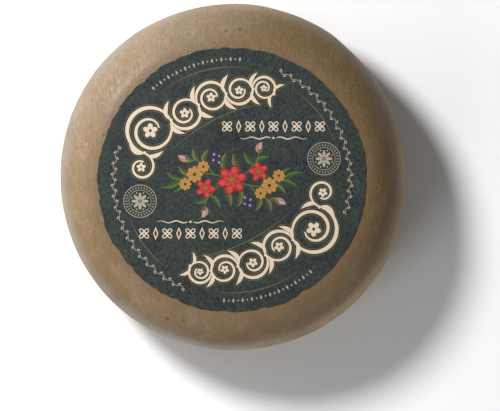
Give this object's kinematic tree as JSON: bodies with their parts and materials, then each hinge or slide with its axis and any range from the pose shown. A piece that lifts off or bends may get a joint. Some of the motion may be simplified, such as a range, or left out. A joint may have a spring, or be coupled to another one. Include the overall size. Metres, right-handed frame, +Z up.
{
  "type": "cheese wheel",
  "caption": "Small farmhouse cheese wheel with a domed top, flat foot and full rounded side, in a tan rind coating, with a thin round slate-look label glued on top.",
  "frame": {"origin": "middle of the flat underside, on the surface that the wheel rests on", "axes": "+Z up through the middle of the wheel, towards the label; +Y towards the top of the label"},
  "size_m": [0.2487, 0.2496, 0.0957],
  "materials": {
    "rind": "satin tan rind coating with a fine cloth imprint, small pits and scuffs",
    "label": "matt printed paper with a slate look"
  },
  "bodies": {
    "root": {"wheel": "rind", "label": "label"}
  },
  "joints": []
}
